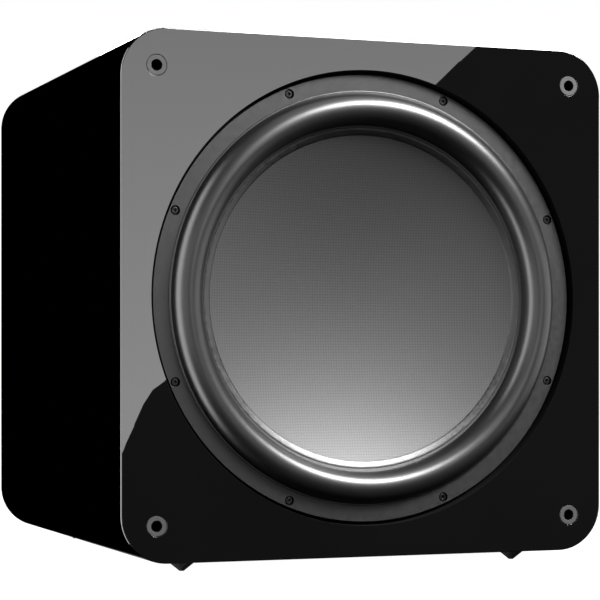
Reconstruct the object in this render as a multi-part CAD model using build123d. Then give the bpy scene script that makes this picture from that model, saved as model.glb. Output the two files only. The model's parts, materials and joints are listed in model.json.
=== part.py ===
from build123d import *

import math
import os

# A sealed, powered subwoofer. Millimetres. +Z is up, the driver faces -Y and the amplifier faces +Y.
# The origin lies on the floor, under the centre of the whole object's bounding box.
# "depth" is measured into the cabinet from the front face, and "out" is measured outwards from the rear face.

# Cabinet
CABINET_WIDTH = 502.0
CABINET_HEIGHT = 503.0
CABINET_DEPTH = 508.0
CORNER_RADIUS = 45.7
BOARD = 25.0
EDGE_ROUND = 1.6
FOOT_HEIGHT = 12.0
FOOT_TOP_RADIUS = 16.5
FOOT_TIP_RADIUS = 3.0
FOOT_TIP_ROUND = 0.8
FOOT_SPACING = 352.0
FOOT_SETBACK = 50.6
STUD_RADIUS = 3.0
STUD_START = 6.0
STUD_END = 32.0
BRACE_DEPTH = 300.0
BRACE_THICKNESS = 18.0
BRACE_WINDOW = 310.0
BRACE_WINDOW_ROUND = 60.0
FELT_THICKNESS = 15.0
FELT_WIDTH = 380.0
FELT_START = 56.0
FELT_LENGTH = 235.0

# Grille sockets
SOCKET_OFFSET = 216.0
SOCKET_RADIUS = 10.2
SOCKET_BORE = 5.4
SOCKET_BORE_LENGTH = 16.0
SOCKET_SINK = 0.4
SOCKET_BEVEL = 0.8

# Driver frame and its fixings
REBATE_RADIUS = 221.0
REBATE_BEVEL = 0.8
FLANGE_RADIUS = 217.5
FLANGE_INNER = 196.0
FLANGE_FACE = 7.5
FLANGE_THICKNESS = 8.0
GASKET = 1.5
CUTOUT_RADIUS = 203.0
SHOULDER_RADIUS = 201.0
SHOULDER_END = 45.0
SCREW_COUNT = 8
SCREW_CIRCLE = 211.7
SCREW_RADIUS = 2.0
SCREW_HEAD_RADIUS = 3.5
SCREW_HEAD_HEIGHT = 4.0
SCREW_RECESS_RADIUS = 4.7
SCREW_RECESS_DEPTH = 5.2
SCREW_LENGTH = 40.0
HEX_RADIUS = 1.75
HEX_DEPTH = 2.2
SCREW_CLEARANCE = 0.3
NUT_BARREL_RADIUS = 3.0
NUT_BARREL_LENGTH = 12.0
NUT_FLANGE_RADIUS = 8.0
NUT_FLANGE = 1.5
THREAD_CLEARANCE = 0.05
SPOKE_COUNT = 8
SPOKE_WIDTH = 14.0
SPOKE_START = 32.0
SPOKE_END = 124.0
BASKET_WINDOW = 30.0
BASKET_WINDOW_START = 136.0
BASKET_WINDOW_END = 152.0
TERMINAL_WIDTH = 30.0
TERMINAL_THICKNESS = 14.0
TERMINAL_START = 101.0
TERMINAL_END = 121.0
TERMINAL_OFFSET = 13.0
TERMINAL_LUG = 6.0
HOUSING_RADIUS = 114.0
HOUSING_START = 96.0

# Cone and suspension
DISH_RADIUS = 159.3
DISH_EDGE_DEPTH = 15.0
DISH_CENTRE_DEPTH = 40.0
DISH_THICKNESS = 1.5
RING_OUTER = 166.2
RING_OUTER_DEPTH = 12.2
RING_THICKNESS = 1.6
SURROUND_OUTER = 200.6
SURROUND_THICKNESS = 2.2
LIP_RADIUS = 202.2
LIP_INNER = 198.2
LIP_HEIGHT = 1.0
CONE_RIM_RADIUS = 150.0
CONE_WALL = 1.5
NECK_DEPTH = 92.0
NECK_LENGTH = 5.0
FORMER_RADIUS = 38.0
FORMER_WALL = 0.3
FORMER_START = 86.0
FORMER_END = 198.0
WINDING_WALL = 2.3
WINDING_LENGTH = 50.0
FRONT_SPIDER_DEPTH = 101.0
FRONT_SPIDER_RADIUS = 108.0
REAR_SPIDER_DEPTH = 129.0
REAR_SPIDER_RADIUS = 98.0
SPIDER_THICKNESS = 0.8
SPIDER_WAVE = 2.4
SPIDER_LAND = 8.0

# Motor
TOP_PLATE_DEPTH = 165.0
TOP_PLATE_THICKNESS = 12.0
TOP_PLATE_RADIUS = 105.0
GAP_RADIUS = 41.6
MAGNET_RADIUS = 110.0
MAGNET_BORE = 48.0
MAGNET_THICKNESS = 25.0
POLE_RADIUS = 37.2
VENT_RADIUS = 14.0
BACK_PLATE_THICKNESS = 13.0
MOTOR_BOLT_CIRCLE = 78.0
MOTOR_BOLT_HEAD = 5.0
MOTOR_BOLT_REACH = 9.0
BOOT_WALL = 2.5
SEAT_THICKNESS = 8.0

# Amplifier panel, on the rear face
PLATE_WIDTH = 330.0
PLATE_HEIGHT = 390.0
PLATE_THICKNESS = 4.0
PLATE_ROUND = 10.0
OPENING_WIDTH = 300.0
OPENING_HEIGHT = 360.0
TRAY_WIDTH = 284.0
TRAY_HEIGHT = 344.0
TRAY_DEPTH = 85.0
TRAY_WALL = 1.5
PANEL_SCREW_RADIUS = 2.0
PANEL_SCREW_HEAD = 3.8
PANEL_SCREW_HEIGHT = 2.2
PANEL_SCREW_LENGTH = 20.0
SINK_WIDTH = 200.0
SINK_EAR = 12.0
SINK_HEIGHT = 150.0
SINK_CENTRE = 100.0
SINK_BASE = 3.5
SINK_PROUD = 14.0
FIN_COUNT = 17
FIN_THICKNESS = 2.2
BOARD_THICKNESS = 1.6
SIGNAL_BOARD_OUT = -20.0
POWER_BOARD_OUT = -30.0
STANDOFF_RADIUS = 3.0
STANDOFF_SPACING = 224.0
SIGNAL_BOARD_SIZE = (250.0, 112.0)
SIGNAL_BOARD_CENTRE = -62.0
POWER_BOARD_SIZE = (240.0, 150.0)
POWER_BOARD_CENTRE = 84.0
STANDOFF_INSET = 10.0
CAN_RADIUS = 15.0
CAN_LENGTH = 45.0
CAN_PLACES = (-75.0, -35.0, 5.0, 45.0)
CAN_ROW = 40.0
TRANSFORMER_RADIUS = 50.0
TRANSFORMER_BORE = 18.0
TRANSFORMER_HEIGHT = 38.0
TRANSFORMER_ROUND = 9.0
TRANSFORMER_PLACE = (-70.0, -85.0)
CONTROL_ROW = -26.0
JACK_ROW = -82.0
MAINS_ROW = -146.0
KNOB_PLACES = {"volume": 95.0, "crossover": 45.0}
KNOB_RADIUS = 10.5
KNOB_LENGTH = 12.0
SHAFT_RADIUS = 3.0
SHAFT_CLEARANCE = 0.05
BUSH_RADIUS = 4.5
POT_CASE = 16.0
KNOB_FLUTES = 18
PHONO_PLACES = (100.0, 76.0, 40.0, 16.0)
PHONO_RADIUS = 4.15
PHONO_BORE = 3.3
PHONO_LENGTH = 9.0
PHONO_BODY = 5.0
PHONO_PIN_BORE = 1.6
WASHER_RADIUS = 7.6
WASHER_THICKNESS = 1.2
JACK_PLACE = -40.0
JACK_RADIUS = 4.0
JACK_BORE = 1.8
JACK_BORE_LENGTH = 14.0
JACK_BODY = 3.9
SLIDER_PLACE = -10.0
SLIDER_TRAVEL = 3.0
SLIDER_NUB = 4.2
BUTTON_PLACE = -55.0
BUTTON_RADIUS = 3.0
LENS_PLACE = -90.0
LENS_RADIUS = 2.4
INLET_PLACE = 85.0
INLET_WIDTH = 48.0
INLET_HEIGHT = 28.0
INLET_FLANGE = 2.5
INLET_BODY = (31.0, 23.0)
INLET_LENGTH = 24.0
INLET_SCREW_OFFSET = 20.0
SOCKET_MOUTH_WIDTH = 24.7
SOCKET_MOUTH_HEIGHT = 17.0
SOCKET_MOUTH_DEPTH = 15.0
SOCKET_MOUTH_BEVEL = 5.0
ROCKER_PLACE = 10.0
SWITCH_BEZEL = (20.0, 30.0)
SWITCH_BEZEL_THICKNESS = 1.8
SWITCH_BODY = (17.6, 27.6)
SWITCH_LENGTH = 18.0
ROCKER_TILT = 9.0
ROCKER_HALF_HEIGHT = 10.0
ROCKER_HALF_WIDTH = 6.2
ROCKER_PIVOT_OUT = -3.0
ROCKER_PIN_RADIUS = 1.5

# Worked out from the sizes above
ROLL_CENTRE = ((RING_OUTER + SURROUND_OUTER) / 2, (RING_OUTER_DEPTH + FLANGE_FACE) / 2)
ROLL_CHORD = (SURROUND_OUTER - RING_OUTER, FLANGE_FACE - RING_OUTER_DEPTH)
ROLL_RADIUS = math.hypot(*ROLL_CHORD) / 2
CREST_PROUD = ROLL_RADIUS - ROLL_CENTRE[1]
FRONT_Y = -(CABINET_DEPTH + CREST_PROUD + SINK_PROUD) / 2 + CREST_PROUD
REAR_Y = FRONT_Y + CABINET_DEPTH
CENTRE_Z = FOOT_HEIGHT + CABINET_HEIGHT / 2
INNER_WIDTH = CABINET_WIDTH - 2 * BOARD
INNER_HEIGHT = CABINET_HEIGHT - 2 * BOARD
STRAIGHT_WIDTH = CABINET_WIDTH - 2 * CORNER_RADIUS
STRAIGHT_HEIGHT = CABINET_HEIGHT - 2 * CORNER_RADIUS
FLANGE_BACK = FLANGE_FACE + FLANGE_THICKNESS
REBATE_DEPTH = FLANGE_BACK + GASKET
MAGNET_START = TOP_PLATE_DEPTH + TOP_PLATE_THICKNESS
MAGNET_END = MAGNET_START + 2 * MAGNET_THICKNESS
MOTOR_END = MAGNET_END + BACK_PLATE_THICKNESS
SEAT_START = TOP_PLATE_DEPTH - SEAT_THICKNESS
NECK_RADIUS = FORMER_RADIUS + FORMER_WALL
HEX_SIDES = 6

parts = {}


def add(name, *solids):
    """Keeps one node: a single solid, or a group of separate solids of the same kind."""
    parts[name] = list(solids)


def turned(*outline):
    """Solid of revolution about the Y axis, from its outline's (radius, y) corners."""
    return revolve(make_face(Polyline(*outline, close=True)), Axis.Y)


def ring(inner, outer, start, end):
    """Ring or disc about the Y axis between two places along it."""
    return turned((inner, start), (outer, start), (outer, end), (inner, end))


def block(width, height, start, end, x=0.0, z=0.0):
    """Box of that width (X) and height (Z), between two places along Y."""
    return Pos(x, (start + end) / 2, z) * Box(width, end - start, height)


def board(outline, start, end):
    """Outline drawn in X and Z, cut from a board between two places along Y."""
    return Pos(0, start, 0) * extrude(Plane.XZ * outline, amount=start - end)


def in_driver(shape):
    """Moves a shape drawn about the driver's axis, with y as depth, to its place."""
    return Pos(0, FRONT_Y, CENTRE_Z) * shape


def on_panel(shape, x=0.0, z=0.0):
    """Moves a shape drawn on the rear face, with y as out, to its place."""
    return Pos(x, REAR_Y, CENTRE_Z + z) * shape


def spaced_round(shape, count, radius, first=0.0):
    """Copies of a shape, evenly spaced on a circle about the Y axis."""
    step = 360.0 / count
    return [Rot(0, first + step * k, 0) * (Pos(radius, 0, 0) * shape) for k in range(count)]


def corner_places(x, z):
    """The four places at plus and minus x and z."""
    return [(sx * x, sz * z) for sx in (-1, 1) for sz in (-1, 1)]


def bend_radii(route):
    """Largest bend at each corner of a lead's route that leaves the runs beside it room."""
    points = [Vector(*p) for p in route]
    radii = []
    for before, here, after in zip(points, points[1:], points[2:]):
        turn = (here - before).get_angle(after - here)
        shorter = min((here - before).length, (after - here).length)
        radii.append(0.45 * shorter / math.tan(math.radians(turn / 2)))
    return radii


def lead(route, radius):
    """Round lead along straight runs joined by tangent bends."""
    path = FilletPolyline(*route, radius=bend_radii(route))
    return sweep(path.location_at(0) * Circle(radius), path=path)


# ---------------------------------------------------------------- cabinet


def inside_outline():
    """What the four boards and the corner posts leave open inside the cabinet."""
    return Rectangle(INNER_WIDTH, STRAIGHT_HEIGHT) + Rectangle(STRAIGHT_WIDTH, INNER_HEIGHT)


def outer_baffle():
    outline = RectangleRounded(CABINET_WIDTH, CABINET_HEIGHT, CORNER_RADIUS)
    front = board(outline, 0, BOARD)
    front = fillet(front.faces().sort_by(Axis.Y)[0].outer_wire().edges(), EDGE_ROUND)
    rim = REBATE_RADIUS + REBATE_BEVEL
    front -= turned(
        (0, -1),
        (rim + 1, -1),
        (REBATE_RADIUS, REBATE_BEVEL),
        (REBATE_RADIUS, REBATE_DEPTH),
        (CUTOUT_RADIUS, REBATE_DEPTH),
        (CUTOUT_RADIUS, BOARD + 1),
        (0, BOARD + 1),
    )
    for x, z in corner_places(SOCKET_OFFSET, SOCKET_OFFSET):
        front -= Pos(x, 0, z) * ring(0, SOCKET_RADIUS, -1, BOARD + 1)
    screw_hole = ring(0, SCREW_RADIUS + SCREW_CLEARANCE, REBATE_DEPTH - 1, BOARD + 1)
    for hole in spaced_round(screw_hole, SCREW_COUNT, SCREW_CIRCLE, 180 / SCREW_COUNT):
        front -= hole
    return in_driver(front)


def inner_baffle():
    back = board(inside_outline(), BOARD, 2 * BOARD)
    back -= ring(0, CUTOUT_RADIUS, BOARD - 1, 2 * BOARD + 1)
    nut_start = 2 * BOARD - NUT_BARREL_LENGTH
    hole = ring(0, SCREW_RADIUS + SCREW_CLEARANCE, BOARD - 1, nut_start + 1)
    hole += ring(0, NUT_BARREL_RADIUS, nut_start, 2 * BOARD + 1)
    for one in spaced_round(hole, SCREW_COUNT, SCREW_CIRCLE, 180 / SCREW_COUNT):
        back -= one
    return in_driver(back)


def side_boards():
    """The four flat boards, butted between the corner posts."""
    length = (BOARD, CABINET_DEPTH)
    off_x = (CABINET_WIDTH - BOARD) / 2
    off_z = (CABINET_HEIGHT - BOARD) / 2
    add("left_panel", in_driver(block(BOARD, STRAIGHT_HEIGHT, *length, x=-off_x)))
    add("right_panel", in_driver(block(BOARD, STRAIGHT_HEIGHT, *length, x=off_x)))
    add("top_panel", in_driver(block(STRAIGHT_WIDTH, BOARD, *length, z=off_z)))
    bottom = in_driver(block(STRAIGHT_WIDTH, BOARD, *length, z=-off_z))
    for x, y in foot_places():
        bottom -= Pos(x, y, FOOT_HEIGHT - 1) * Cylinder(
            STUD_RADIUS, STUD_END - FOOT_HEIGHT + 1, align=(Align.CENTER, Align.CENTER, Align.MIN)
        )
    add("bottom_panel", bottom)


def corner_posts():
    """Quarter-round posts that close the four long edges."""
    post = board(Circle(CORNER_RADIUS), BOARD, CABINET_DEPTH)
    posts = []
    for sx, sz in corner_places(1, 1):
        reach = CORNER_RADIUS
        quarter = post & block(reach, reach, BOARD, CABINET_DEPTH, sx * reach / 2, sz * reach / 2)
        posts.append(in_driver(Pos(sx * STRAIGHT_WIDTH / 2, 0, sz * STRAIGHT_HEIGHT / 2) * quarter))
    return posts


def rear_panel():
    back = board(inside_outline(), -BOARD, 0)
    back -= board(RectangleRounded(PLATE_WIDTH, PLATE_HEIGHT, PLATE_ROUND), -PLATE_THICKNESS, 1)
    back -= board(RectangleRounded(OPENING_WIDTH, OPENING_HEIGHT, PLATE_ROUND), -BOARD - 1, 1)
    for x, z in plate_screw_places():
        back -= Pos(x, 0, z) * ring(0, PANEL_SCREW_RADIUS, -PANEL_SCREW_LENGTH, 1)
    return on_panel(back)


def window_brace():
    brace = board(inside_outline(), BRACE_DEPTH, BRACE_DEPTH + BRACE_THICKNESS)
    window = RectangleRounded(BRACE_WINDOW, BRACE_WINDOW, BRACE_WINDOW_ROUND)
    brace -= board(window, BRACE_DEPTH - 1, BRACE_DEPTH + BRACE_THICKNESS + 1)
    return in_driver(brace)


def wall_damping():
    """Felt on the four walls, between the baffle and the brace."""
    end = FELT_START + FELT_LENGTH
    off = (INNER_WIDTH - FELT_THICKNESS) / 2
    upright = [block(FELT_THICKNESS, FELT_WIDTH, FELT_START, end, x=s * off) for s in (-1, 1)]
    lying = [block(FELT_WIDTH, FELT_THICKNESS, FELT_START, end, z=s * off) for s in (-1, 1)]
    return [in_driver(felt) for felt in upright + lying]


def grille_sockets():
    """Moulded cups that fill the holes bored through the outer baffle."""
    start = SOCKET_SINK
    face = SOCKET_RADIUS - SOCKET_BEVEL
    socket = turned(
        (0, start + SOCKET_BORE_LENGTH),
        (SOCKET_BORE, start + SOCKET_BORE_LENGTH),
        (SOCKET_BORE, start),
        (face, start),
        (SOCKET_RADIUS, start + SOCKET_BEVEL),
        (SOCKET_RADIUS, BOARD),
        (0, BOARD),
    )
    return [in_driver(Pos(x, 0, z) * socket) for x, z in corner_places(SOCKET_OFFSET, SOCKET_OFFSET)]


def foot_places():
    near = FRONT_Y + FOOT_SETBACK
    far = REAR_Y - FOOT_SETBACK
    return [(s * FOOT_SPACING / 2, y) for s in (-1, 1) for y in (near, far)]


def feet():
    cone = Cone(
        FOOT_TIP_RADIUS, FOOT_TOP_RADIUS, FOOT_HEIGHT, align=(Align.CENTER, Align.CENTER, Align.MIN)
    )
    cone = fillet(cone.edges().sort_by(Axis.Z)[0], FOOT_TIP_ROUND)
    cone -= Pos(0, 0, STUD_START) * Cylinder(
        STUD_RADIUS, FOOT_HEIGHT, align=(Align.CENTER, Align.CENTER, Align.MIN)
    )
    return [Pos(x, y, 0) * cone for x, y in foot_places()]


def foot_studs():
    stud = Pos(0, 0, STUD_START) * Cylinder(
        STUD_RADIUS, STUD_END - STUD_START, align=(Align.CENTER, Align.CENTER, Align.MIN)
    )
    return [Pos(x, y, 0) * stud for x, y in foot_places()]


def make_cabinet():
    add("outer_baffle", outer_baffle())
    add("inner_baffle", inner_baffle())
    side_boards()
    add("corner_posts", *corner_posts())
    add("rear_panel", rear_panel())
    add("window_brace", window_brace())
    add("wall_damping", *wall_damping())
    add("grille_sockets", *grille_sockets())
    add("feet", *feet())
    add("foot_studs", *foot_studs())


# ---------------------------------------------------------------- driver, fixed parts


def driver_basket():
    """Cast frame: front flange and shoulder, eight spokes, and the housing that holds spiders and motor."""
    frame = turned(
        (FLANGE_INNER, FLANGE_FACE),
        (FLANGE_RADIUS, FLANGE_FACE),
        (FLANGE_RADIUS, FLANGE_BACK),
        (SHOULDER_RADIUS, FLANGE_BACK),
        (SHOULDER_RADIUS, SHOULDER_END),
        (FLANGE_INNER, SHOULDER_END),
    )
    frame += turned(
        (FRONT_SPIDER_RADIUS, HOUSING_START),
        (HOUSING_RADIUS, HOUSING_START),
        (HOUSING_RADIUS, TOP_PLATE_DEPTH),
        (MAGNET_BORE, TOP_PLATE_DEPTH),
        (MAGNET_BORE, SEAT_START),
        (REAR_SPIDER_RADIUS - SPIDER_LAND, SEAT_START),
        (REAR_SPIDER_RADIUS - SPIDER_LAND, REAR_SPIDER_DEPTH),
        (FRONT_SPIDER_RADIUS - SPIDER_LAND, REAR_SPIDER_DEPTH),
        (FRONT_SPIDER_RADIUS - SPIDER_LAND, FRONT_SPIDER_DEPTH),
        (FRONT_SPIDER_RADIUS, FRONT_SPIDER_DEPTH),
    )
    sunk = 0.5
    spoke_outline = make_face(
        Polyline(
            (FLANGE_INNER + sunk, SPOKE_START),
            (SHOULDER_RADIUS - sunk, SHOULDER_END - sunk),
            (HOUSING_RADIUS - sunk, SPOKE_END),
            (HOUSING_RADIUS - 6 * sunk, HOUSING_START + 2 * sunk),
            close=True,
        )
    )
    spoke = Pos(0, 0, -SPOKE_WIDTH / 2) * extrude(spoke_outline, amount=SPOKE_WIDTH)
    for one in spaced_round(spoke, SPOKE_COUNT, 0, 180 / SPOKE_COUNT):
        frame += one
    window = block(
        BASKET_WINDOW, BASKET_WINDOW, BASKET_WINDOW_START, BASKET_WINDOW_END, x=HOUSING_RADIUS
    )
    for one in spaced_round(window, SPOKE_COUNT, 0):
        frame -= one
    frame += block(
        TERMINAL_WIDTH + TERMINAL_LUG,
        TERMINAL_LUG + 4.0,
        TERMINAL_START - 2.0,
        TERMINAL_END + 2.0,
        z=HOUSING_RADIUS + 1.0,
    )
    hole = ring(0, SCREW_RADIUS + SCREW_CLEARANCE, FLANGE_FACE - 1, FLANGE_BACK + 1)
    hole += ring(0, SCREW_RECESS_RADIUS, FLANGE_FACE - 1, FLANGE_FACE + SCREW_RECESS_DEPTH)
    for one in spaced_round(hole, SCREW_COUNT, SCREW_CIRCLE, 180 / SCREW_COUNT):
        frame -= one
    bolt_hole = ring(0, STUD_RADIUS, SEAT_START - 1, TOP_PLATE_DEPTH + 1)
    for one in spaced_round(bolt_hole, SPOKE_COUNT, MOTOR_BOLT_CIRCLE):
        frame -= one
    return in_driver(frame)


def frame_gasket():
    gasket = ring(CUTOUT_RADIUS, FLANGE_RADIUS, FLANGE_BACK, REBATE_DEPTH)
    hole = ring(0, SCREW_RADIUS + SCREW_CLEARANCE, FLANGE_BACK - 1, REBATE_DEPTH + 1)
    for one in spaced_round(hole, SCREW_COUNT, SCREW_CIRCLE, 180 / SCREW_COUNT):
        gasket -= one
    return in_driver(gasket)


def driver_screws():
    seat = FLANGE_FACE + SCREW_RECESS_DEPTH
    face = seat - SCREW_HEAD_HEIGHT
    screw = ring(0, SCREW_HEAD_RADIUS, face, seat) + ring(0, SCREW_RADIUS, seat, seat + SCREW_LENGTH)
    screw = chamfer(screw.edges().filter_by(GeomType.CIRCLE).sort_by(Axis.Y)[0], 0.5)
    screw -= board(RegularPolygon(HEX_RADIUS, HEX_SIDES), face - 1, face + HEX_DEPTH)
    return [in_driver(s) for s in spaced_round(screw, SCREW_COUNT, SCREW_CIRCLE, 180 / SCREW_COUNT)]


def tee_nuts():
    bore = SCREW_RADIUS + THREAD_CLEARANCE
    back = 2 * BOARD
    nut = turned(
        (bore, back - NUT_BARREL_LENGTH),
        (NUT_BARREL_RADIUS, back - NUT_BARREL_LENGTH),
        (NUT_BARREL_RADIUS, back),
        (NUT_FLANGE_RADIUS, back),
        (NUT_FLANGE_RADIUS, back + NUT_FLANGE),
        (bore, back + NUT_FLANGE),
    )
    return [in_driver(n) for n in spaced_round(nut, SCREW_COUNT, SCREW_CIRCLE, 180 / SCREW_COUNT)]


def top_plate():
    plate = ring(GAP_RADIUS, TOP_PLATE_RADIUS, TOP_PLATE_DEPTH, MAGNET_START)
    hole = ring(0, STUD_RADIUS, TOP_PLATE_DEPTH - 1, TOP_PLATE_DEPTH + MOTOR_BOLT_REACH)
    for one in spaced_round(hole, SPOKE_COUNT, MOTOR_BOLT_CIRCLE):
        plate -= one
    return in_driver(plate)


def magnet_rings():
    starts = [MAGNET_START, MAGNET_START + MAGNET_THICKNESS]
    return [in_driver(ring(MAGNET_BORE, MAGNET_RADIUS, s, s + MAGNET_THICKNESS)) for s in starts]


def back_plate():
    return in_driver(ring(VENT_RADIUS, TOP_PLATE_RADIUS, MAGNET_END, MOTOR_END))


def pole_piece():
    return in_driver(ring(VENT_RADIUS, POLE_RADIUS, TOP_PLATE_DEPTH - 2, MAGNET_END))


def magnet_boot():
    """Rubber sleeve round the magnets, turned in over the back plate."""
    return in_driver(
        turned(
            (MAGNET_RADIUS, MAGNET_START),
            (MAGNET_RADIUS + BOOT_WALL, MAGNET_START),
            (MAGNET_RADIUS + BOOT_WALL, MOTOR_END + BOOT_WALL),
            (2 * VENT_RADIUS, MOTOR_END + BOOT_WALL),
            (2 * VENT_RADIUS, MOTOR_END),
            (MAGNET_RADIUS, MOTOR_END),
        )
    )


def motor_bolts():
    head = ring(0, MOTOR_BOLT_HEAD, SEAT_START - MOTOR_BOLT_HEAD, SEAT_START)
    bolt = head + ring(0, STUD_RADIUS, SEAT_START, TOP_PLATE_DEPTH + MOTOR_BOLT_REACH)
    return [in_driver(b) for b in spaced_round(bolt, SPOKE_COUNT, MOTOR_BOLT_CIRCLE)]


def terminal_block():
    height = HOUSING_RADIUS + TERMINAL_OFFSET
    return in_driver(
        block(TERMINAL_WIDTH, TERMINAL_THICKNESS, TERMINAL_START, TERMINAL_END, z=height)
    )


def driver_cable():
    """Cable from the amplifier tray, through the brace's window, to the driver's terminals."""
    tray_face = CABINET_DEPTH - PLATE_THICKNESS - TRAY_DEPTH
    height = HOUSING_RADIUS + TERMINAL_OFFSET
    route = [
        (0, tray_face, 96.0),
        (0, 380.0, 96.0),
        (0, 336.0, 106.0),
        (0, 290.0, 124.0),
        (0, 240.0, 136.0),
        (0, 194.0, 137.0),
        (0, 158.0, height),
        (0, TERMINAL_END, height),
    ]
    return in_driver(lead(route, 3.5))


def make_driver():
    add("driver_basket", driver_basket())
    add("frame_gasket", frame_gasket())
    add("driver_screws", *driver_screws())
    add("tee_nuts", *tee_nuts())
    add("top_plate", top_plate())
    add("magnet_rings", *magnet_rings())
    add("back_plate", back_plate())
    add("pole_piece", pole_piece())
    add("magnet_boot", magnet_boot())
    add("motor_bolts", *motor_bolts())
    add("terminal_block", terminal_block())
    add("driver_cable", driver_cable())


# ---------------------------------------------------------------- driver, moving parts


def woven_dish():
    """Shallow dish of even thickness, part of a sphere."""
    sag = DISH_CENTRE_DEPTH - DISH_EDGE_DEPTH
    sphere = (DISH_RADIUS**2 + sag**2) / (2 * sag)
    half = DISH_RADIUS / 2
    half_depth = DISH_CENTRE_DEPTH - sphere + math.sqrt(sphere**2 - half**2)
    front = ThreePointArc(
        (0, DISH_CENTRE_DEPTH), (half, half_depth), (DISH_RADIUS, DISH_EDGE_DEPTH)
    )
    rim = Line((DISH_RADIUS, DISH_EDGE_DEPTH), (DISH_RADIUS, DISH_EDGE_DEPTH + DISH_THICKNESS))
    back = ThreePointArc(
        (DISH_RADIUS, DISH_EDGE_DEPTH + DISH_THICKNESS),
        (half, half_depth + DISH_THICKNESS),
        (0, DISH_CENTRE_DEPTH + DISH_THICKNESS),
    )
    axis = Line((0, DISH_CENTRE_DEPTH + DISH_THICKNESS), (0, DISH_CENTRE_DEPTH))
    return in_driver(revolve(make_face([front, rim, back, axis]), Axis.Y))


def cone_ring():
    """Smooth sloping ring that covers the joint between the dish and the surround."""
    return in_driver(
        turned(
            (DISH_RADIUS, DISH_EDGE_DEPTH),
            (RING_OUTER, RING_OUTER_DEPTH),
            (RING_OUTER, RING_OUTER_DEPTH + RING_THICKNESS),
            (DISH_RADIUS, DISH_EDGE_DEPTH + RING_THICKNESS),
        )
    )


def structural_cone():
    """Cone that carries the dish's rim on the coil former, ending in a short neck."""
    sag = DISH_CENTRE_DEPTH - DISH_EDGE_DEPTH
    sphere = (DISH_RADIUS**2 + sag**2) / (2 * sag)
    rim = DISH_CENTRE_DEPTH - sphere + math.sqrt(sphere**2 - CONE_RIM_RADIUS**2) + DISH_THICKNESS
    return in_driver(
        turned(
            (CONE_RIM_RADIUS, rim + 0.3),
            (CONE_RIM_RADIUS + CONE_WALL, rim + 0.3),
            (NECK_RADIUS + CONE_WALL, NECK_DEPTH),
            (NECK_RADIUS + CONE_WALL, NECK_DEPTH + NECK_LENGTH),
            (NECK_RADIUS, NECK_DEPTH + NECK_LENGTH),
            (NECK_RADIUS, NECK_DEPTH - CONE_WALL),
        )
    )


def coil_former():
    return in_driver(ring(FORMER_RADIUS, NECK_RADIUS, FORMER_START, FORMER_END))


def coil_winding():
    middle = TOP_PLATE_DEPTH + TOP_PLATE_THICKNESS / 2
    half = WINDING_LENGTH / 2
    return in_driver(ring(NECK_RADIUS, NECK_RADIUS + WINDING_WALL, middle - half, middle + half))


def surround():
    """Half-roll of rubber, with a lip on the flange and a land behind the cone ring."""
    across = Vector(*ROLL_CHORD).normalized()
    forward = Vector(across.Y, -across.X)
    centre = Vector(*ROLL_CENTRE)
    inner_radius = ROLL_RADIUS - SURROUND_THICKNESS
    outer_roll = ThreePointArc(
        (RING_OUTER, RING_OUTER_DEPTH),
        centre + forward * ROLL_RADIUS,
        (SURROUND_OUTER, FLANGE_FACE),
    )
    base = Line((SURROUND_OUTER, FLANGE_FACE), centre + across * inner_radius)
    inner_roll = ThreePointArc(
        centre + across * inner_radius,
        centre + forward * inner_radius,
        centre - across * inner_radius,
    )
    root = Line(centre - across * inner_radius, (RING_OUTER, RING_OUTER_DEPTH))
    roll = revolve(make_face([outer_roll, base, inner_roll, root]), Axis.Y)
    lip = ring(LIP_INNER, LIP_RADIUS, FLANGE_FACE - LIP_HEIGHT, FLANGE_FACE)
    roll_root = centre - across * inner_radius
    land = turned(
        (RING_OUTER, RING_OUTER_DEPTH),
        (roll_root.X, roll_root.Y),
        (RING_OUTER, RING_OUTER_DEPTH + RING_THICKNESS + SURROUND_THICKNESS),
        (DISH_RADIUS, DISH_EDGE_DEPTH + RING_THICKNESS + SURROUND_THICKNESS),
        (DISH_RADIUS, DISH_EDGE_DEPTH + RING_THICKNESS),
        (RING_OUTER, RING_OUTER_DEPTH + RING_THICKNESS),
    )
    shape = roll + lip + land
    shape -= ring(FLANGE_INNER, LIP_RADIUS + 1, FLANGE_FACE, FLANGE_FACE + 5)
    return in_driver(shape)


def wavy_disc(inner, outer, depth):
    """Corrugated cloth disc between the former and its ledge: arcs up and down, then a flat land."""
    waves = 8
    bend_end = outer - SPIDER_LAND
    step = (bend_end - inner) / waves
    edges = []
    for lift, order in ((0.0, range(waves)), (SPIDER_THICKNESS, reversed(range(waves)))):
        if lift:
            edges.append(Line((outer, depth - lift), (bend_end, depth - lift)))
        for k in order:
            near = (inner + step * k, depth - lift)
            far = (inner + step * (k + 1), depth - lift)
            crest = (inner + step * (k + 0.5), depth - lift - SPIDER_WAVE * (-1) ** k)
            edges.append(ThreePointArc(near, crest, far))
        if not lift:
            edges.append(Line((bend_end, depth), (outer, depth)))
            edges.append(Line((outer, depth), (outer, depth - SPIDER_THICKNESS)))
    edges.append(Line((inner, depth - SPIDER_THICKNESS), (inner, depth)))
    return in_driver(revolve(make_face(edges), Axis.Y))


def tinsel_leads():
    """Two flexible leads from the terminal block to the coil former."""
    leads = []
    height = HOUSING_RADIUS + TERMINAL_OFFSET
    for side in (-1, 1):
        route = [
            (side * 9.0, TERMINAL_START, height),
            (side * 9.0, TERMINAL_START - 10.0, height),
            (side * 9.5, 84.5, 112.0),
            (side * 10.0, 84.0, 96.0),
            (side * 10.0, 87.0, 80.0),
            (side * 10.5, 90.0, 66.0),
            (side * 10.0, 93.0, 53.0),
            (side * 10.0, 94.5, 43.0),
        ]
        leads.append(in_driver(lead(route, 1.2)))
    return leads


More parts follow.
